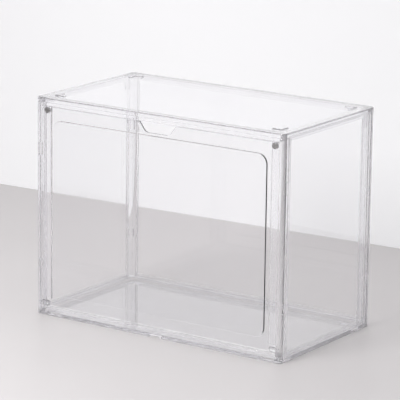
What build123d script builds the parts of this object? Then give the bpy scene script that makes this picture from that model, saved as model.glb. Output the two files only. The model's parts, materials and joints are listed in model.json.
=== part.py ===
from build123d import *
import os

# Clear stackable shoe box with a drop-front door that magnets hold shut.
# The origin is the middle of the footprint, on the surface that the feet stand on.
# X runs along the width, the door is on the -Y side and Z is up. Sizes are in millimetres.

# Overall size
WIDTH = 360.0
DEPTH = 200.0
HEIGHT = 275.0

# Fits
SEAM = 0.1  # air between two mouldings that meet
SOFT_EDGE = 0.8  # rounding of the outer moulded edges
FINE_EDGE = 0.4  # rounding of the inner and thin edges
CRISP_EDGE = 0.2  # rounding of the edge next to the ground

# Heights of the base tray, from the feet up
FOOT_HEIGHT = 0.4
FLOOR_BOTTOM = FOOT_HEIGHT
FLOOR_TOP = 3.0
BASE_RIM_TOP = 7.5
SILL_TOP = 11.0

# Heights of the top tray, from the stacking ridges down
TOP_RIM_TOP = HEIGHT - 1.0
LID_TOP = TOP_RIM_TOP - 0.6
LID_BOTTOM = LID_TOP - 2.5
TOP_RIM_BOTTOM = TOP_RIM_TOP - 7.0
HEADER_BOTTOM = TOP_RIM_BOTTOM - 3.5

# Plan sizes that both trays share
CORNER_RADIUS = 5.5
RIM_WIDTH = 10.0
SILL_DEPTH = 5.0
LIP_THICKNESS = 2.0
RIDGE_THICKNESS = 5.0
RIDGE_ARM = 14.5
RIDGE_DRAFT = 30.0
RIDGE_CLEARANCE = 0.6
RIDGE_X = WIDTH / 2 - 15.5
RIDGE_Y = DEPTH / 2 - 17
FOOT_END_X = 147.0
FOOT_END_Y = 70.0
FOOT_INSET = 3.0
NOTCH_WIDTH = 17.0
NOTCH_TOP = 2.6

# Corner posts
POST_DEPTH = 13.0
FRONT_POST_FACE = 8.0
BACK_POST_FACE = 12.0
SPIGOT_RADIUS = 1.8
SPIGOT_LENGTH = 3.4
SPIGOT_INSET = 4.8
STOP_WIDTH = 12.5
STOP_THICKNESS = 3.0
STOP_BOTTOM = 21.0
STOP_FRONT = -DEPTH / 2 + 4.1

# Sheets that slide into grooves
SHEET = 2.0
SHEET_INSET = 1.6  # from the outer face of a post to the outer face of a sheet
GROOVE_DEPTH = 4.0  # in a post
RIM_GROOVE = 2.5  # in a tray
TAB_REACH = 4.0
TAB_SPANS = ((60.0, 70.0), (201.0, 216.0))
LATCH_WIDTH = 9.0
LATCH_DROP = 16.0

# Door
BORDER_FRONT = -DEPTH / 2 + 1.7
BORDER_THICKNESS = 1.9
DOOR_SIDE_GAP = 0.6
DOOR_BOTTOM = 12.5
DOOR_TOP = HEADER_BOTTOM - 0.8
DOOR_TOP_CORNER = 4.0
PANEL_HALF_WIDTH = 155.5
PANEL_BOTTOM = 27.0
PANEL_TOP = 247.5
PANEL_CORNER = 13.0
PANEL_STEP = 1.4  # how far the field stands out in front of the border
PANEL_DRAFT = 30.0
SCOOP_TOP_WIDTH = 54.0
SCOOP_BOTTOM_WIDTH = 34.0
SCOOP_DEPTH = 12.5
SCOOP_CORNER = 9.0

# Hinge
PIN_Y = -DEPTH / 2 + 3.4
PIN_Z = 15.6
PIN_RADIUS = 2.0
PIN_LENGTH = 4.2
PIN_CLEARANCE = 0.05
KNUCKLE_RADIUS = 3.0
KNUCKLE_LENGTH = 9.0

# Magnets
MAGNET_RADIUS = 3.6
MAGNET_THICKNESS = 1.2
MAGNET_TURN = 40.0  # keeps a disc's seam line away from the seam line of its pocket
MAGNET_X = WIDTH / 2 - 15.4
MAGNET_Z = DOOR_TOP - 4.5
MAGNET_RING_RADIUS = 4.2
MAGNET_RING_HEIGHT = 0.3

# Worked out from the sizes above
HALF_X = WIDTH / 2
HALF_Y = DEPTH / 2
POST_BACK = HALF_Y - POST_DEPTH
FRONT_POST_INNER = HALF_X - FRONT_POST_FACE
BACK_POST_INNER = HALF_X - BACK_POST_FACE
DOOR_BACK = BORDER_FRONT + BORDER_THICKNESS
DOOR_HALF_WIDTH = FRONT_POST_INNER - DOOR_SIDE_GAP


def block(x_span, y_span, z_span):
    """A box between two values along each axis."""
    size = [high - low for low, high in (x_span, y_span, z_span)]
    middle = [(high + low) / 2 for low, high in (x_span, y_span, z_span)]
    return Pos(*middle) * Box(*size)


def slab(width, depth, radius, z_span):
    """A plate with rounded corners, centred on the Z axis."""
    low, high = z_span
    return Pos(0, 0, low) * extrude(RectangleRounded(width, depth, radius), high - low)


def both_sides(shape):
    """The shape and its mirror image in the YZ plane."""
    return shape + mirror(shape, Plane.YZ)


def four_corners(shape):
    """The shape in all four corners."""
    pair = both_sides(shape)
    return pair + mirror(pair, Plane.XZ)


def edges_at_height(shape, height):
    """The edges that lie flat at one height."""
    return [
        edge
        for edge in shape.edges()
        if abs(edge.bounding_box().min.Z - height) < 0.01 and abs(edge.bounding_box().max.Z - height) < 0.01
    ]


def upright_edges(shape, x, y):
    """The vertical edges that stand at one point of the plan."""
    return [
        edge
        for edge in shape.edges().filter_by(Axis.Z)
        if abs(edge.center().X - x) < 0.01 and abs(edge.center().Y - y) < 0.01
    ]


def tray_ring(z_span, round_height, rounding):
    """The rim that both trays have, with its outer edge rounded at round_height."""
    outer = slab(WIDTH, DEPTH, CORNER_RADIUS, z_span)
    outer = fillet(edges_at_height(outer, round_height), rounding)
    return outer - slab(WIDTH - 2 * RIM_WIDTH, DEPTH - 2 * RIM_WIDTH, FINE_EDGE, z_span)


def sheet_lips(z_span):
    """The low walls behind the sheets, on the left, right and back."""
    lip_out = HALF_X - SHEET_INSET - SHEET - 2 * SEAM
    side = block((lip_out - LIP_THICKNESS, lip_out), (-POST_BACK + SEAM, POST_BACK - SEAM), z_span)
    back_out = lip_out - HALF_X + HALF_Y
    back_reach = BACK_POST_INNER - SEAM
    back = block((-back_reach, back_reach), (back_out - LIP_THICKNESS, back_out), z_span)
    return both_sides(side) + back


def front_bar(z_span):
    """The sill below the door, or the header above it."""
    reach = FRONT_POST_INNER - SEAM
    return block((-reach, reach), (-HALF_Y, -HALF_Y + SILL_DEPTH), z_span)


def sheet_grooves(z_span):
    """The slots in a tray's rim that the three sheets stand in."""
    near = HALF_X - SHEET_INSET - SHEET - SEAM
    far = HALF_X - SHEET_INSET + SEAM
    reach_y = POST_BACK + GROOVE_DEPTH
    reach_x = BACK_POST_INNER + GROOVE_DEPTH
    side = block((near, far), (-reach_y, reach_y), z_span)
    back = block((-reach_x, reach_x), (near - HALF_X + HALF_Y, far - HALF_X + HALF_Y), z_span)
    return both_sides(side) + back


def spigot_sockets(z_span):
    """The blind holes in a tray's corners that the posts plug into."""
    low, high = z_span
    place = Pos(HALF_X - SPIGOT_INSET, HALF_Y - SPIGOT_INSET, (low + high) / 2)
    return four_corners(place * Cylinder(SPIGOT_RADIUS + SEAM, high - low))


def make_foot():
    """One L-shaped foot, in the +X +Y corner, which stands outside the ridge of a box below."""
    out_x = HALF_X - FOOT_INSET
    out_y = HALF_Y - FOOT_INSET
    heights = (0, FLOOR_BOTTOM + SEAM)
    long_arm = block((FOOT_END_X, out_x), (RIDGE_Y + RIDGE_CLEARANCE, out_y), heights)
    short_arm = block((RIDGE_X + RIDGE_CLEARANCE, out_x), (FOOT_END_Y, out_y), heights)
    foot = long_arm + short_arm
    return fillet(upright_edges(foot, out_x, out_y), CORNER_RADIUS - FOOT_INSET)


def ridge_outline(grow):
    """The L-shaped plan of the stacking ridge in the +X +Y corner, made wider by grow on every side."""
    out_x = RIDGE_X + grow
    out_y = RIDGE_Y + grow
    arm = RIDGE_ARM + 2 * grow
    thick = RIDGE_THICKNESS + 2 * grow
    outline = Polyline(
        (out_x, out_y),
        (out_x - arm, out_y),
        (out_x - arm, out_y - thick),
        (out_x - thick, out_y - thick),
        (out_x - thick, out_y - arm),
        (out_x, out_y - arm),
        close=True,
    )
    return make_face(outline)


def make_ridge_recess():
    """The hollow under the +X +Y corner of the floor that takes the ridge of a box below."""
    depth = HEIGHT - TOP_RIM_TOP - FOOT_HEIGHT + RIDGE_CLEARANCE
    return extrude(Pos(0, 0, FLOOR_BOTTOM) * ridge_outline(RIDGE_CLEARANCE / 2), depth)


def make_base_panel():
    """The bottom tray: floor, rim, sill, lips and feet in one moulding."""
    base = tray_ring((FOOT_HEIGHT, BASE_RIM_TOP), FOOT_HEIGHT, CRISP_EDGE)
    plate_overlap = RIM_WIDTH - SEAM
    base += slab(WIDTH - 2 * plate_overlap, DEPTH - 2 * plate_overlap, FINE_EDGE, (FLOOR_BOTTOM, FLOOR_TOP))
    base += front_bar((BASE_RIM_TOP, SILL_TOP))
    base += sheet_lips((BASE_RIM_TOP, SILL_TOP))
    base += four_corners(make_foot())
    base -= four_corners(make_ridge_recess())
    base -= sheet_grooves((BASE_RIM_TOP - RIM_GROOVE, BASE_RIM_TOP))
    base -= spigot_sockets((BASE_RIM_TOP - SPIGOT_LENGTH - SEAM, BASE_RIM_TOP))
    notch_y = (-HALF_Y, -HALF_Y + RIM_WIDTH)
    base -= block((-NOTCH_WIDTH / 2, NOTCH_WIDTH / 2), notch_y, (FOOT_HEIGHT, NOTCH_TOP))
    return base


def make_ridge():
    """One L-shaped stacking ridge with sloping sides, in the +X +Y corner of the lid."""
    return extrude(Pos(0, 0, LID_TOP) * ridge_outline(0), HEIGHT - LID_TOP, taper=RIDGE_DRAFT)


def make_latch():
    """A tongue behind the right sheet that holds it at the back, with a round end."""
    out = HALF_X - SHEET_INSET - SHEET - 2 * SEAM
    near_y = POST_BACK - SEAM - LATCH_WIDTH
    lowest = TOP_RIM_BOTTOM - LATCH_DROP
    tongue = block((out - LIP_THICKNESS, out), (near_y, near_y + LATCH_WIDTH), (lowest, TOP_RIM_BOTTOM))
    ends = upright_ends(tongue, lowest)
    return fillet(ends, LATCH_WIDTH / 2 - SEAM)


def upright_ends(shape, height):
    """The edges along X at one height."""
    return [edge for edge in shape.edges().filter_by(Axis.X) if abs(edge.center().Z - height) < 0.01]


def make_top_panel():
    """The top tray: lid plate, rim, header, lips, stacking ridges and two latches."""
    top = tray_ring((TOP_RIM_BOTTOM, TOP_RIM_TOP), TOP_RIM_TOP, SOFT_EDGE)
    plate_overlap = RIM_WIDTH - SEAM
    top += slab(WIDTH - 2 * plate_overlap, DEPTH - 2 * plate_overlap, FINE_EDGE, (LID_BOTTOM, LID_TOP))
    top += front_bar((HEADER_BOTTOM, TOP_RIM_BOTTOM))
    top += sheet_lips((HEADER_BOTTOM, TOP_RIM_BOTTOM))
    top += both_sides(make_latch())
    top += four_corners(make_ridge())
    top -= sheet_grooves((TOP_RIM_BOTTOM, TOP_RIM_BOTTOM + RIM_GROOVE))
    top -= spigot_sockets((TOP_RIM_BOTTOM, TOP_RIM_BOTTOM + SPIGOT_LENGTH + SEAM))
    return top


def post_body(inner_x, y_span, corner_y):
    """An upright bar in the right-hand corner with a spigot at each end."""
    low = BASE_RIM_TOP + SEAM
    high = TOP_RIM_BOTTOM - SEAM
    bar = block((inner_x, HALF_X), y_span, (low, high))
    bar = fillet(upright_edges(bar, HALF_X, corner_y), CORNER_RADIUS)
    seam_y = sum(y_span) - corner_y
    bar = fillet(upright_edges(bar, HALF_X, seam_y), FINE_EDGE)
    spigot_y = corner_y * (1 - SPIGOT_INSET / HALF_Y)
    length = high - low + 2 * SPIGOT_LENGTH
    spigots = Pos(HALF_X - SPIGOT_INSET, spigot_y, (low + high) / 2) * Cylinder(SPIGOT_RADIUS, length)
    return bar + spigots


def side_groove(corner_y, reach, z_span):
    """The slot in a right-hand post for the side sheet, or a deeper pocket for one of its tabs."""
    side = corner_y / HALF_Y
    near, far = sorted((side * POST_BACK, side * (POST_BACK + reach)))
    x_span = (HALF_X - SHEET_INSET - SHEET - SEAM, HALF_X - SHEET_INSET + SEAM)
    return block(x_span, (near, far), z_span)


def all_side_grooves(corner_y):
    """The full-height slot and the two tab pockets of a right-hand post."""
    slots = side_groove(corner_y, GROOVE_DEPTH, (BASE_RIM_TOP, TOP_RIM_BOTTOM))
    for low, high in TAB_SPANS:
        slots += side_groove(corner_y, GROOVE_DEPTH + TAB_REACH, (low - SEAM, high + SEAM))
    return slots


def make_front_right_post():
    """The post that holds a hinge pin and, on its door stop, a magnet."""
    post = post_body(FRONT_POST_INNER, (-HALF_Y, -POST_BACK), -HALF_Y)
    stop_back = STOP_FRONT + STOP_THICKNESS
    stop_x = (FRONT_POST_INNER - STOP_WIDTH, FRONT_POST_INNER + SEAM)
    stop = block(stop_x, (STOP_FRONT, stop_back), (STOP_BOTTOM, HEADER_BOTTOM - 2 * SEAM))
    post += fillet(upright_edges(stop, stop_x[0], STOP_FRONT) + upright_edges(stop, stop_x[0], stop_back), FINE_EDGE)
    post -= all_side_grooves(-HALF_Y)
    bore_end = DOOR_HALF_WIDTH + PIN_LENGTH + 2 * SEAM
    bore_length = bore_end - FRONT_POST_INNER + SEAM
    bore = Rot(0, 90, 0) * Cylinder(PIN_RADIUS + PIN_CLEARANCE, bore_length)
    post -= Pos(bore_end - bore_length / 2, PIN_Y, PIN_Z) * bore
    pocket_depth = MAGNET_THICKNESS + 2 * SEAM
    pocket = Rot(90, 0, 0) * Cylinder(MAGNET_RADIUS + SEAM, pocket_depth)
    post -= Pos(MAGNET_X, stop_back - pocket_depth / 2, MAGNET_Z) * pocket
    return post


def make_back_right_post():
    """The post that the side sheet and the back sheet slide into."""
    post = post_body(BACK_POST_INNER, (POST_BACK, HALF_Y), HALF_Y)
    post -= all_side_grooves(HALF_Y)
    x_span = (BACK_POST_INNER, BACK_POST_INNER + GROOVE_DEPTH)
    y_span = (HALF_Y - SHEET_INSET - SHEET - SEAM, HALF_Y - SHEET_INSET + SEAM)
    return post - block(x_span, y_span, (BASE_RIM_TOP, TOP_RIM_BOTTOM))


def sheet_heights():
    """How far the sheets reach down and up into the trays' grooves."""
    return (BASE_RIM_TOP - RIM_GROOVE + SEAM, TOP_RIM_BOTTOM + RIM_GROOVE - SEAM)


def make_right_side_panel():
    """The right sheet with its hook tabs."""
    x_span = (HALF_X - SHEET_INSET - SHEET, HALF_X - SHEET_INSET)
    reach = POST_BACK + GROOVE_DEPTH - SEAM
    sheet = block(x_span, (-reach, reach), sheet_heights())
    for span in TAB_SPANS:
        sheet += block(x_span, (-reach - TAB_REACH, reach + TAB_REACH), span)
    return sheet


def make_back_panel():
    """The back sheet."""
    reach = BACK_POST_INNER + GROOVE_DEPTH - SEAM
    y_span = (HALF_Y - SHEET_INSET - SHEET, HALF_Y - SHEET_INSET)
    return block((-reach, reach), y_span, sheet_heights())


def make_field():
    """The raised middle of the door, with sloping sides."""
    middle = (PANEL_BOTTOM + PANEL_TOP) / 2
    outline = Pos(0, middle) * RectangleRounded(2 * PANEL_HALF_WIDTH, PANEL_TOP - PANEL_BOTTOM, PANEL_CORNER)
    return extrude(Plane.XZ.offset(-BORDER_FRONT) * outline, PANEL_STEP, taper=PANEL_DRAFT)


def make_scoop():
    """The finger cut-out in the middle of the door's top edge."""
    bottom = DOOR_TOP - SCOOP_DEPTH
    lid = DOOR_TOP + SOFT_EDGE
    outline = Polyline(
        (-SCOOP_TOP_WIDTH / 2, lid),
        (-SCOOP_BOTTOM_WIDTH / 2, bottom),
        (SCOOP_BOTTOM_WIDTH / 2, bottom),
        (SCOOP_TOP_WIDTH / 2, lid),
        close=True,
    )
    face = make_face(outline)
    face = fillet([v for v in face.vertices() if abs(v.Y - bottom) < 0.01], SCOOP_CORNER)
    return extrude(Plane.XZ.offset(-BORDER_FRONT + SEAM) * face, -BORDER_THICKNESS - 2 * SEAM)


def make_front_door():
    """The door: a border, a raised field, the finger scoop, two hinge pins and two magnet rings."""
    height = DOOR_TOP - DOOR_BOTTOM
    outline = Pos(0, (DOOR_TOP + DOOR_BOTTOM) / 2) * Rectangle(2 * DOOR_HALF_WIDTH, height)
    outline = fillet([v for v in outline.vertices() if v.Y > height / 2], DOOR_TOP_CORNER)
    plate = extrude(Plane.XZ.offset(-BORDER_FRONT) * outline, -BORDER_THICKNESS)
    foot_edges = [e for e in plate.edges().filter_by(Axis.X) if e.center().Z < PIN_Z]
    door = fillet(foot_edges, BORDER_THICKNESS / 2 - SEAM)
    door -= make_scoop()
    door += make_field()
    along_x = Rot(0, 90, 0)
    knuckle_x = DOOR_HALF_WIDTH - KNUCKLE_LENGTH / 2
    hinge = Pos(knuckle_x, PIN_Y, PIN_Z) * along_x * Cylinder(KNUCKLE_RADIUS, KNUCKLE_LENGTH)
    hinge += Pos(DOOR_HALF_WIDTH + PIN_LENGTH / 2 - 1, PIN_Y, PIN_Z) * along_x * Cylinder(PIN_RADIUS, PIN_LENGTH + 2)
    door += both_sides(hinge)
    along_y = Rot(90, 0, 0)
    ring = Pos(MAGNET_X, DOOR_BACK + MAGNET_RING_HEIGHT / 2 - SEAM, MAGNET_Z)
    ring = ring * along_y * Cylinder(MAGNET_RING_RADIUS, MAGNET_RING_HEIGHT + 2 * SEAM)
    door += both_sides(ring)
    depth = MAGNET_THICKNESS + MAGNET_RING_HEIGHT + 2 * SEAM
    pocket_y = DOOR_BACK + MAGNET_RING_HEIGHT + SEAM - depth / 2
    pocket = Pos(MAGNET_X, pocket_y, MAGNET_Z) * along_y * Cylinder(MAGNET_RADIUS + SEAM, depth)
    return door - both_sides(pocket)


def make_magnet(back):
    """The right-hand magnet disc of a pair, whose back face is at y = back."""
    disc = Rot(90, 0, 0) * Rot(0, 0, MAGNET_TURN) * Cylinder(MAGNET_RADIUS, MAGNET_THICKNESS)
    disc = fillet(disc.edges().filter_by(GeomType.CIRCLE), FINE_EDGE / 2)
    return Pos(MAGNET_X, back - MAGNET_THICKNESS / 2, MAGNET_Z) * disc


def make_pairs():
    """The right-hand parts that have a mirror image on the left."""
    stop_back = STOP_FRONT + STOP_THICKNESS
    return {
        "front_{}_post": make_front_right_post(),
        "back_{}_post": make_back_right_post(),
        "{}_side_panel": make_right_side_panel(),
        "door_magnet_{}": make_magnet(DOOR_BACK + MAGNET_RING_HEIGHT - SEAM),
        "post_magnet_{}": make_magnet(stop_back - SEAM),
    }


parts = {
    "base_panel": make_base_panel(),
    "top_panel": make_top_panel(),
    "back_panel": make_back_panel(),
    "front_door": make_front_door(),
}
for name, right in make_pairs().items():
    parts[name.format("right")] = right
    parts[name.format("left")] = mirror(right, Plane.YZ)

os.makedirs("parts", exist_ok=True)
for node, shape in parts.items():
    export_step(shape, f"parts/{node}.step")
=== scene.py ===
import json
import math

import bmesh
import bpy
from mathutils import Matrix, Vector

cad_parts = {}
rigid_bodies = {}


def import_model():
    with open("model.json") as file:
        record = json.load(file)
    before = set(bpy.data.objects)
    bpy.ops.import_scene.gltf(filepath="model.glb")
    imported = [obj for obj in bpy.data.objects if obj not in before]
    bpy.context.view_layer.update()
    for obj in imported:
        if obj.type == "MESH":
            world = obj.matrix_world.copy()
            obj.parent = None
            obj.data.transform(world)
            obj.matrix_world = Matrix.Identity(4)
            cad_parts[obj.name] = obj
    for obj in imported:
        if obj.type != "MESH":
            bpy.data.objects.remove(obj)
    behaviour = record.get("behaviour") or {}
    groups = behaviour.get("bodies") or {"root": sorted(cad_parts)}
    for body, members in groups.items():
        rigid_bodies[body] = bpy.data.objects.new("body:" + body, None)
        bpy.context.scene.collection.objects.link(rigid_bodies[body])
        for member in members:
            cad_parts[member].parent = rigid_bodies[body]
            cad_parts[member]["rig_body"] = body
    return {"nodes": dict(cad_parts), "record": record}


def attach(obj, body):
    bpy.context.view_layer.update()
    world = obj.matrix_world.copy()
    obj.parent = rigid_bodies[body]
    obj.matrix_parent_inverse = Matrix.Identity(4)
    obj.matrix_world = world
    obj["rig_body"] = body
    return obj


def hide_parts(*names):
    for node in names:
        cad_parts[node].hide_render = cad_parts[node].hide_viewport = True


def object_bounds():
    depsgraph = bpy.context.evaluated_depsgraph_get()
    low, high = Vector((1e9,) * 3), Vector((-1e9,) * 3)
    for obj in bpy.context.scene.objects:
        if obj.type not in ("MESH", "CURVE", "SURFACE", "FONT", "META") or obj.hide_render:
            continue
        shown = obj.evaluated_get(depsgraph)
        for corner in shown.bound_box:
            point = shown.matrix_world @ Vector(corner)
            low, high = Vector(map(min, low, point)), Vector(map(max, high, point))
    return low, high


# Clear stackable shoe box with a drop-front door. Lengths are in metres.
MM = 0.001
UP = Vector((0, 0, 1))
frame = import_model()
cad_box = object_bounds()
low, high = cad_box
WIDTH = (high - low).x

# Camera: the direction it looks from, in degrees, and its place, in widths of the box
CAMERA_AZIMUTH = 34.31
CAMERA_ELEVATION = 13.62
CAMERA_ROLL = 0.76
CAMERA_DISTANCE = 8.753
TARGET_X = -0.0137
TARGET_Z = 0.4184
LENS_MM = 232.4
SENSOR_MM = 36
VIEW_LIMIT = 50  # how far the camera sees

# Stage
STAGE_REACH = 3.0  # how far the stage runs to each side and to the front
FLOOR_Z = -0.1 * MM
FLOOR_COLOUR = (0.57, 0.545, 0.545)
FLOOR_BEHIND = 0.3  # how far the floor runs on behind the middle of the backdrop
BACKDROP_Y = 0.447
BACKDROP_LEAN = 0.047  # how far the backdrop runs back for each metre to the right
BACKDROP_HEIGHT = 2.0
BACKDROP_COLOUR = (0.9, 0.9, 0.91)
BACKDROP_GLOW = 0.15

# Materials
WHITE = (1, 1, 1, 1)
SMOKE = (0.30, 0.28, 0.36, 1)  # what is left of light that runs on and on inside the plastic
HAIRLINES = 260  # scratches for each metre
HAIRLINE_SCALE = (1.0, 1.0, 9.0)  # squashed along Z, so that scratches run level
CLOUDS = 18  # soft patches for each metre
MOTTLES = 6  # faint patches on the stage for each metre
NICKEL_GRAINS = 2500
NICKEL_SPOTS = 500
NICKEL_DARK = (0.1, 0.1, 0.1, 1)
NICKEL_BRIGHT = (0.55, 0.55, 0.54, 1)

# Meshes
WELD = 0.001 * MM
FLAT_ANGLE = math.radians(0.5)  # faces that meet at less than this are one flat face
SHARP_ANGLE = math.radians(40)
EDGE_SEGMENTS = 2

# Light paths
WALL_BOUNCES = 96
SEE_THROUGH_BOUNCES = 48


# ---- camera ----

def make_camera():
    """A long lens that looks at the box from the front right, a little from above."""
    azimuth = math.radians(CAMERA_AZIMUTH)
    elevation = math.radians(CAMERA_ELEVATION)
    roll = math.radians(CAMERA_ROLL)
    level = math.cos(elevation)
    back = Vector((math.sin(azimuth) * level, -math.cos(azimuth) * level, math.sin(elevation)))
    target = Vector((TARGET_X * WIDTH, 0, TARGET_Z * WIDTH))
    right = UP.cross(back).normalized()
    up = back.cross(right)
    rolled_right = right * math.cos(roll) + up * math.sin(roll)
    rolled_up = up * math.cos(roll) - right * math.sin(roll)
    data = bpy.data.cameras.new("camera")
    data.lens = LENS_MM
    data.sensor_width = SENSOR_MM
    data.clip_end = VIEW_LIMIT
    camera = bpy.data.objects.new("camera", data)
    place = Matrix.Translation(target + back * CAMERA_DISTANCE * WIDTH)
    turn = Matrix((rolled_right, rolled_up, back)).transposed()
    camera.matrix_world = place @ turn.to_4x4()
    bpy.context.scene.collection.objects.link(camera)
    bpy.context.scene.camera = camera


# ---- node helpers ----

def new_material(name):
    """A material with an empty tree and its output node."""
    material = bpy.data.materials.new(name)
    material.use_nodes = True
    tree = material.node_tree
    tree.nodes.clear()
    output = tree.nodes.new("ShaderNodeOutputMaterial")
    return material, tree, output


def add(tree, kind, links=(), **settings):
    """A node with its settings filled in. links holds (input name, output socket) pairs."""
    node = tree.nodes.new(kind)
    for key, value in settings.items():
        setattr(node, key, value)
    for name, source in links:
        tree.links.new(source, node.inputs[name])
    return node


def noise(tree, place, scale, detail=2.0, rough=0.5):
    """A noise pattern with features of about 1 / scale metres."""
    node = add(tree, "ShaderNodeTexNoise", [("Vector", place)])
    node.inputs["Scale"].default_value = scale
    node.inputs["Detail"].default_value = detail
    node.inputs["Roughness"].default_value = rough
    return node.outputs["Fac"]


def spread(tree, value, low_to, high_to, low_from=0.3, high_from=0.7):
    """value mapped from one range to another, and kept inside it."""
    node = add(tree, "ShaderNodeMapRange", [("Value", value)])
    node.inputs["From Min"].default_value = low_from
    node.inputs["From Max"].default_value = high_from
    node.inputs["To Min"].default_value = low_to
    node.inputs["To Max"].default_value = high_to
    return node.outputs["Result"]


def combine(tree, kind, first, second):
    """Two numbers put together by a Math node of this kind."""
    node = add(tree, "ShaderNodeMath", operation=kind)
    tree.links.new(first, node.inputs[0])
    tree.links.new(second, node.inputs[1])
    return node.outputs[0]


def blend_colours(tree, amount, first, second):
    """A colour between first and second."""
    node = add(tree, "ShaderNodeMix", [("Factor", amount)], data_type="RGBA")
    node.inputs["A"].default_value = first
    node.inputs["B"].default_value = second
    return node.outputs["Result"]


def blend_shaders(tree, amount, first, second):
    """The shader first where amount is 0, and second where it is 1."""
    node = add(tree, "ShaderNodeMixShader")
    tree.links.new(amount, node.inputs[0])
    tree.links.new(first, node.inputs[1])
    tree.links.new(second, node.inputs[2])
    return node.outputs[0]


# ---- materials ----

def clear_plastic(name, ior, tint, wave, wave_size, shadow, smoke_density, clarity):
    """Polished clear plastic with slow moulding waves, fine scratches and a faint tint.

    wave and wave_size are the height and length of the waves. shadow is the share of the light
    that each wall lets through to what lies in its shadow. clarity is 1 for clear plastic, and
    less for milky plastic.
    """
    material, tree, output = new_material(name)
    place = add(tree, "ShaderNodeTexCoord").outputs["Object"]
    waves = noise(tree, place, 1 / wave_size, 1.0)
    squashed = add(tree, "ShaderNodeMapping", [("Vector", place)])
    squashed.inputs["Scale"].default_value = HAIRLINE_SCALE
    hairlines = noise(tree, squashed.outputs["Vector"], HAIRLINES, 3.0, 0.7)
    clouds = noise(tree, place, CLOUDS, 3.0)
    bump = add(tree, "ShaderNodeBump", [("Height", waves)])
    bump.inputs["Strength"].default_value = 1.0
    bump.inputs["Distance"].default_value = wave
    scratched = spread(tree, hairlines, 0.0, 0.035, 0.62, 0.8)
    clouded = spread(tree, clouds, 0.01, 0.04)
    plastic = add(
        tree,
        "ShaderNodeBsdfPrincipled",
        [
            ("Base Color", blend_colours(tree, clouds, tint, WHITE)),
            ("Roughness", combine(tree, "ADD", scratched, clouded)),
            ("Normal", bump.outputs[0]),
        ],
    )
    plastic.inputs["IOR"].default_value = ior
    plastic.inputs["Transmission Weight"].default_value = clarity
    clear = add(tree, "ShaderNodeBsdfTransparent")
    clear.inputs["Color"].default_value = (shadow, shadow, shadow, 1)
    path = add(tree, "ShaderNodeLightPath")
    soft = combine(tree, "MAXIMUM", path.outputs["Is Shadow Ray"], path.outputs["Is Diffuse Ray"])
    surface = blend_shaders(tree, soft, plastic.outputs[0], clear.outputs[0])
    tree.links.new(surface, output.inputs["Surface"])
    body = add(tree, "ShaderNodeVolumeAbsorption")
    body.inputs["Color"].default_value = SMOKE
    body.inputs["Density"].default_value = smoke_density
    tree.links.new(body.outputs[0], output.inputs["Volume"])
    return material


def nickel():
    """Dark nickel plating with a fine grain and small brighter spots."""
    material, tree, output = new_material("magnet_nickel")
    place = add(tree, "ShaderNodeTexCoord").outputs["Object"]
    grain = noise(tree, place, NICKEL_GRAINS, 2.0)
    spots = noise(tree, place, NICKEL_SPOTS, 2.0)
    bump = add(tree, "ShaderNodeBump", [("Height", grain)])
    bump.inputs["Distance"].default_value = 0.02 * MM
    metal = add(
        tree,
        "ShaderNodeBsdfPrincipled",
        [
            ("Base Color", blend_colours(tree, spots, NICKEL_DARK, NICKEL_BRIGHT)),
            ("Roughness", spread(tree, spots, 0.08, 0.25)),
            ("Normal", bump.outputs[0]),
        ],
    )
    metal.inputs["Metallic"].default_value = 1.0
    tree.links.new(metal.outputs[0], output.inputs["Surface"])
    return material


def plain_surface(name, colour, roughness, grain, glow):
    """A matt or satin stage surface with a very faint mottling, lit from within by glow."""
    material, tree, output = new_material(name)
    place = add(tree, "ShaderNodeTexCoord").outputs["Object"]
    mottle = noise(tree, place, MOTTLES, 3.0)
    darker = tuple(c * (1 - grain) for c in colour) + (1,)
    lighter = tuple(min(1, c * (1 + grain)) for c in colour) + (1,)
    shade = blend_colours(tree, mottle, darker, lighter)
    surface = add(tree, "ShaderNodeBsdfPrincipled", [("Base Color", shade)])
    surface.inputs["Roughness"].default_value = roughness
    surface.inputs["Emission Color"].default_value = (0.98, 0.98, 1.0, 1)
    surface.inputs["Emission Strength"].default_value = glow
    tree.links.new(surface.outputs[0], output.inputs["Surface"])
    return material


def see_through_back(material):
    """Makes a stage surface show on its front only, so it doesn't hide the box from behind."""
    tree = material.node_tree
    output = next(node for node in tree.nodes if node.type == "OUTPUT_MATERIAL")
    front = output.inputs["Surface"].links[0].from_socket
    backfacing = add(tree, "ShaderNodeNewGeometry").outputs["Backfacing"]
    nothing = add(tree, "ShaderNodeBsdfTransparent").outputs[0]
    one_sided = blend_shaders(tree, backfacing, front, nothing)
    tree.links.new(one_sided, output.inputs["Surface"])


# ---- the box ----

def welded_mesh(source, name):
    """A copy of a mesh with its seams welded and its flat faces merged."""
    shape = bmesh.new()
    shape.from_mesh(source)
    bmesh.ops.remove_doubles(shape, verts=shape.verts, dist=WELD)
    bmesh.ops.dissolve_limit(
        shape, angle_limit=FLAT_ANGLE, verts=shape.verts, edges=shape.edges
    )
    bmesh.ops.triangulate(shape, faces=[face for face in shape.faces if len(face.verts) > 4])
    mesh = bpy.data.meshes.new(name)
    shape.to_mesh(mesh)
    shape.free()
    return mesh


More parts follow.
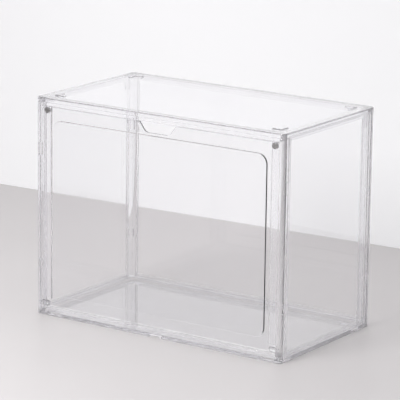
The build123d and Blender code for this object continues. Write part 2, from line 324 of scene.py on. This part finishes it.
def moulded_copy(node, name, material, edge):
    """A CAD node's shape as a piece of its own, with every sharp edge rounded by edge."""
    source = frame["nodes"][node]
    mesh = welded_mesh(source.data, name)
    mesh.materials.clear()
    mesh.materials.append(material)
    piece = bpy.data.objects.new(name, mesh)
    bpy.context.scene.collection.objects.link(piece)
    for face in mesh.polygons:
        face.use_smooth = True
    bevel = piece.modifiers.new("edges", "BEVEL")
    bevel.width = edge
    bevel.segments = EDGE_SEGMENTS
    bevel.limit_method = "ANGLE"
    bevel.angle_limit = SHARP_ANGLE
    bevel.miter_outer = "MITER_ARC"
    mesh.set_sharp_from_angle(angle=SHARP_ANGLE)
    flats = piece.modifiers.new("flats", "WEIGHTED_NORMAL")
    flats.mode = "FACE_AREA"
    flats.weight = 100
    flats.keep_sharp = True
    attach(piece, source["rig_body"])
    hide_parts(node)
    return piece


# ---- stage ----

def plane(name, corners, material):
    """A flat stage surface through four corners."""
    mesh = bpy.data.meshes.new(name)
    mesh.from_pydata(corners, [], [(0, 1, 2, 3)])
    mesh.materials.append(material)
    thing = bpy.data.objects.new(name, mesh)
    bpy.context.scene.collection.objects.link(thing)


def area_light(name, place, aim, size, power, fan):
    """A soft rectangular lamp at place that points at aim, and lights a cone of fan degrees."""
    data = bpy.data.lights.new(name, "AREA")
    data.shape = "RECTANGLE"
    data.size, data.size_y = size
    data.energy = power
    data.spread = math.radians(fan)
    lamp = bpy.data.objects.new(name, data)
    lamp.location = place
    lamp.rotation_euler = (Vector(aim) - Vector(place)).to_track_quat("-Z", "Y").to_euler()
    bpy.context.scene.collection.objects.link(lamp)


def make_world():
    """Soft surroundings: bright overhead, dim near the floor, and darker in front of the box."""
    world = bpy.data.worlds.new("studio")
    bpy.context.scene.world = world
    world.use_nodes = True
    tree = world.node_tree
    tree.nodes.clear()
    output = tree.nodes.new("ShaderNodeOutputWorld")
    direction = add(tree, "ShaderNodeTexCoord").outputs["Generated"]
    axes = add(tree, "ShaderNodeSeparateXYZ", [("Vector", direction)])
    overhead = spread(tree, axes.outputs["Z"], 0.25, 1.0, low_from=0.05, high_from=0.8)
    to_the_back = spread(tree, axes.outputs["Y"], 0.4, 1.0, low_from=-0.6, high_from=0.4)
    level = combine(tree, "MULTIPLY", overhead, to_the_back)
    sky = add(tree, "ShaderNodeBackground", [("Strength", level)])
    sky.inputs["Color"].default_value = (0.97, 0.98, 1.0, 1)
    tree.links.new(sky.outputs[0], output.inputs["Surface"])


def make_stage():
    """A pale grey floor and a plain white backdrop behind the box."""
    floor = plain_surface("floor_paint", FLOOR_COLOUR, roughness=0.4, grain=0.02, glow=0.0)
    wall = plain_surface(
        "backdrop_paint", BACKDROP_COLOUR, roughness=0.8, grain=0.01, glow=BACKDROP_GLOW
    )
    see_through_back(wall)
    left, right = -STAGE_REACH, STAGE_REACH
    near, far = -STAGE_REACH, BACKDROP_Y + FLOOR_BEHIND
    floor_corners = [
        (left, near, FLOOR_Z),
        (right, near, FLOOR_Z),
        (right, far, FLOOR_Z),
        (left, far, FLOOR_Z),
    ]
    plane("floor", floor_corners, floor)
    foot_left = Vector((left, BACKDROP_Y + BACKDROP_LEAN * left, 0))
    foot_right = Vector((right, BACKDROP_Y + BACKDROP_LEAN * right, 0))
    rise = UP * BACKDROP_HEIGHT
    plane("backdrop", [foot_left, foot_right, foot_right + rise, foot_left + rise], wall)


def make_lights():
    """A large soft lamp overhead, and a smaller key lamp high in front of the box."""
    area_light(
        "overhead",
        place=(0.0, -0.4, 1.7),
        aim=(0, -0.1, 0),
        size=(1.4, 1.0),
        power=5,
        fan=180,
    )
    area_light(
        "key",
        place=(-0.3, -1.3, 1.1),
        aim=(-0.15, -0.35, 0),
        size=(0.5, 0.5),
        power=11.5,
        fan=130,
    )


def set_light_paths():
    """Enough bounces for light to cross many clear walls, no caustics and plain tones."""
    scene = bpy.context.scene
    scene.cycles.max_bounces = WALL_BOUNCES
    scene.cycles.transmission_bounces = WALL_BOUNCES
    scene.cycles.glossy_bounces = WALL_BOUNCES
    scene.cycles.transparent_max_bounces = SEE_THROUGH_BOUNCES
    scene.cycles.caustics_reflective = False
    scene.cycles.caustics_refractive = False
    scene.view_settings.view_transform = "Standard"


make_camera()
make_world()
make_stage()
make_lights()
set_light_paths()

moulding = clear_plastic(
    "clear_moulding",
    ior=1.52,
    tint=(0.96, 0.955, 0.98, 1),
    wave=0.02 * MM,
    wave_size=0.03,
    shadow=0.87,
    smoke_density=3.0,
    clarity=0.92,
)
sheet = clear_plastic(
    "clear_sheet",
    ior=1.5,
    tint=(0.99, 0.99, 0.997, 1),
    wave=0.03 * MM,
    wave_size=0.08,
    shadow=0.94,
    smoke_density=1.0,
    clarity=1.0,
)
door = clear_plastic(
    "clear_door",
    ior=1.5,
    tint=(0.99, 0.99, 0.997, 1),
    wave=0.06 * MM,
    wave_size=0.05,
    shadow=0.94,
    smoke_density=9.0,
    clarity=1.0,
)

# The material of each slot, and how far its sharp edges are rounded
FINISHES = {
    "clear_moulding": (moulding, 0.35 * MM),
    "clear_sheet": (sheet, 0.2 * MM),
    "clear_door": (door, 0.35 * MM),
    "magnet_plating": (nickel(), 0.0),
}
for part in frame["record"]["subparts"]:
    node, slot = part["node"], part["material_slot"]
    material, edge = FINISHES[slot]
    if edge:
        moulded_copy(node, node + "_shape", material, edge)
    else:
        frame["nodes"][node].data.materials[0] = material
